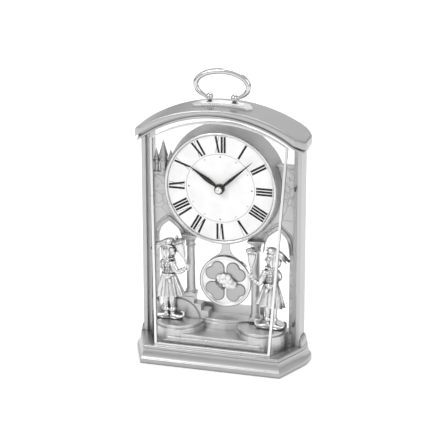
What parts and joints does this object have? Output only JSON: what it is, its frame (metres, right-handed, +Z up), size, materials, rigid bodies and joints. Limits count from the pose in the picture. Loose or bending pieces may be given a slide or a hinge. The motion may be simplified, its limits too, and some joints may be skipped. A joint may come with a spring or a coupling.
{
  "type": "table clock",
  "caption": "Mantel clock with an arched crown, folding carrying handle, leaning front glass, castle stage with cup-bearing figures and a swinging ring pendulum.",
  "frame": {"origin": "on the surface that the clock stands on, under the middle of its base", "axes": "+Z up, the dial looks along -Y, +X is to the right as seen from the front"},
  "size_m": [0.1948, 0.077, 0.3227],
  "materials": {
    "body_metal": "satin silver",
    "chrome": "bright polished",
    "cast_silver": "polished casting, dark in its folds",
    "castle_metal": "satin grey silver",
    "clear_glass": "clear",
    "crystal": "cut crystal",
    "dial_white": "matt white with black numerals",
    "hand_black": "gloss black",
    "black_plastic": "moulded",
    "grey_plastic": "moulded",
    "brass": "machined",
    "steel": "zinc plated",
    "rubber": "matt",
    "copper_coil": "enamelled copper wire",
    "battery_skin": "plain printed sleeve",
    "board": "circuit board lacquer"
  },
  "bodies": {
    "case": {"base_plinth": "body_metal", "base_cover": "steel", "cover_screws": "steel", "base_pads": "rubber", "post_right": "body_metal", "post_left": "body_metal", "tie_rods": "steel", "crown": "body_metal", "front_glass": "clear_glass", "glass_trim": "chrome", "side_glass_right": "clear_glass", "side_glass_left": "clear_glass", "rear_pane": "clear_glass", "stage_deck": "body_metal", "podium": "body_metal", "pedestal_right": "body_metal", "pedestal_left": "body_metal", "stairs": "castle_metal", "column_right": "castle_metal", "column_left": "castle_metal", "castle_right": "castle_metal", "castle_left": "castle_metal", "drum_shell": "castle_metal", "bezel": "body_metal", "dial": "dial_white", "dial_nut": "brass", "movement_case": "black_plastic", "movement_cover": "black_plastic", "pivot_pin": "steel", "motor_coil": "copper_coil", "circuit_board": "board", "handle_plate": "body_metal", "handle_post_right": "chrome", "handle_post_left": "chrome", "handle_nuts": "steel", "figure_left": "cast_silver", "figure_right": "cast_silver", "cup_left": "cast_silver", "cup_right": "cast_silver"},
    "hour_hand_body": {"hour_hand": "hand_black", "hour_wheel": "grey_plastic"},
    "minute_hand_body": {"minute_hand": "hand_black", "hand_cap": "hand_black", "minute_arbor": "brass"},
    "minute_wheel_body": {"minute_wheel": "grey_plastic", "set_knob": "black_plastic"},
    "pendulum": {"pendulum_arm": "chrome", "pendulum_ring": "chrome", "pendulum_petals": "chrome", "pendulum_gem": "crystal", "pendulum_magnet": "steel"},
    "handle": {"handle_bail": "chrome"},
    "battery_cell": {"battery": "battery_skin"}
  },
  "joints": [
    {"name": "minute_hand_turn", "type": "hinge", "parent": "case", "child": "minute_hand_body", "pos_m": [0, 0.0048, 0.193], "axis": [0, 1, 0], "continuous": true},
    {"name": "hour_hand_turn", "type": "hinge", "parent": "case", "child": "hour_hand_body", "pos_m": [0, 0.0048, 0.193], "axis": [0, 1, 0], "continuous": true},
    {"name": "minute_wheel_turn", "type": "hinge", "parent": "case", "child": "minute_wheel_body", "pos_m": [0.0145, 0.01, 0.193], "axis": [0, 1, 0], "continuous": true},
    {"name": "pendulum_swing", "type": "hinge", "parent": "case", "child": "pendulum", "pos_m": [0, 0.027, 0.214], "axis": [0, 1, 0], "range_deg": [-6, 6]},
    {"name": "handle_fold", "type": "hinge", "parent": "case", "child": "handle", "pos_m": [0, 0.012, 0.2914], "axis": [1, 0, 0], "range_deg": [-84, 84]},
    {"name": "battery_slide", "type": "slide", "parent": "case", "child": "battery_cell", "axis": [0, 1, 0], "range_m": [0, 0.04]}
  ],
  "couplings": [
    {"joint": "hour_hand_turn", "follows": "minute_hand_turn", "ratio": 0.083333},
    {"joint": "minute_wheel_turn", "follows": "minute_hand_turn", "ratio": -0.33333}
  ]
}
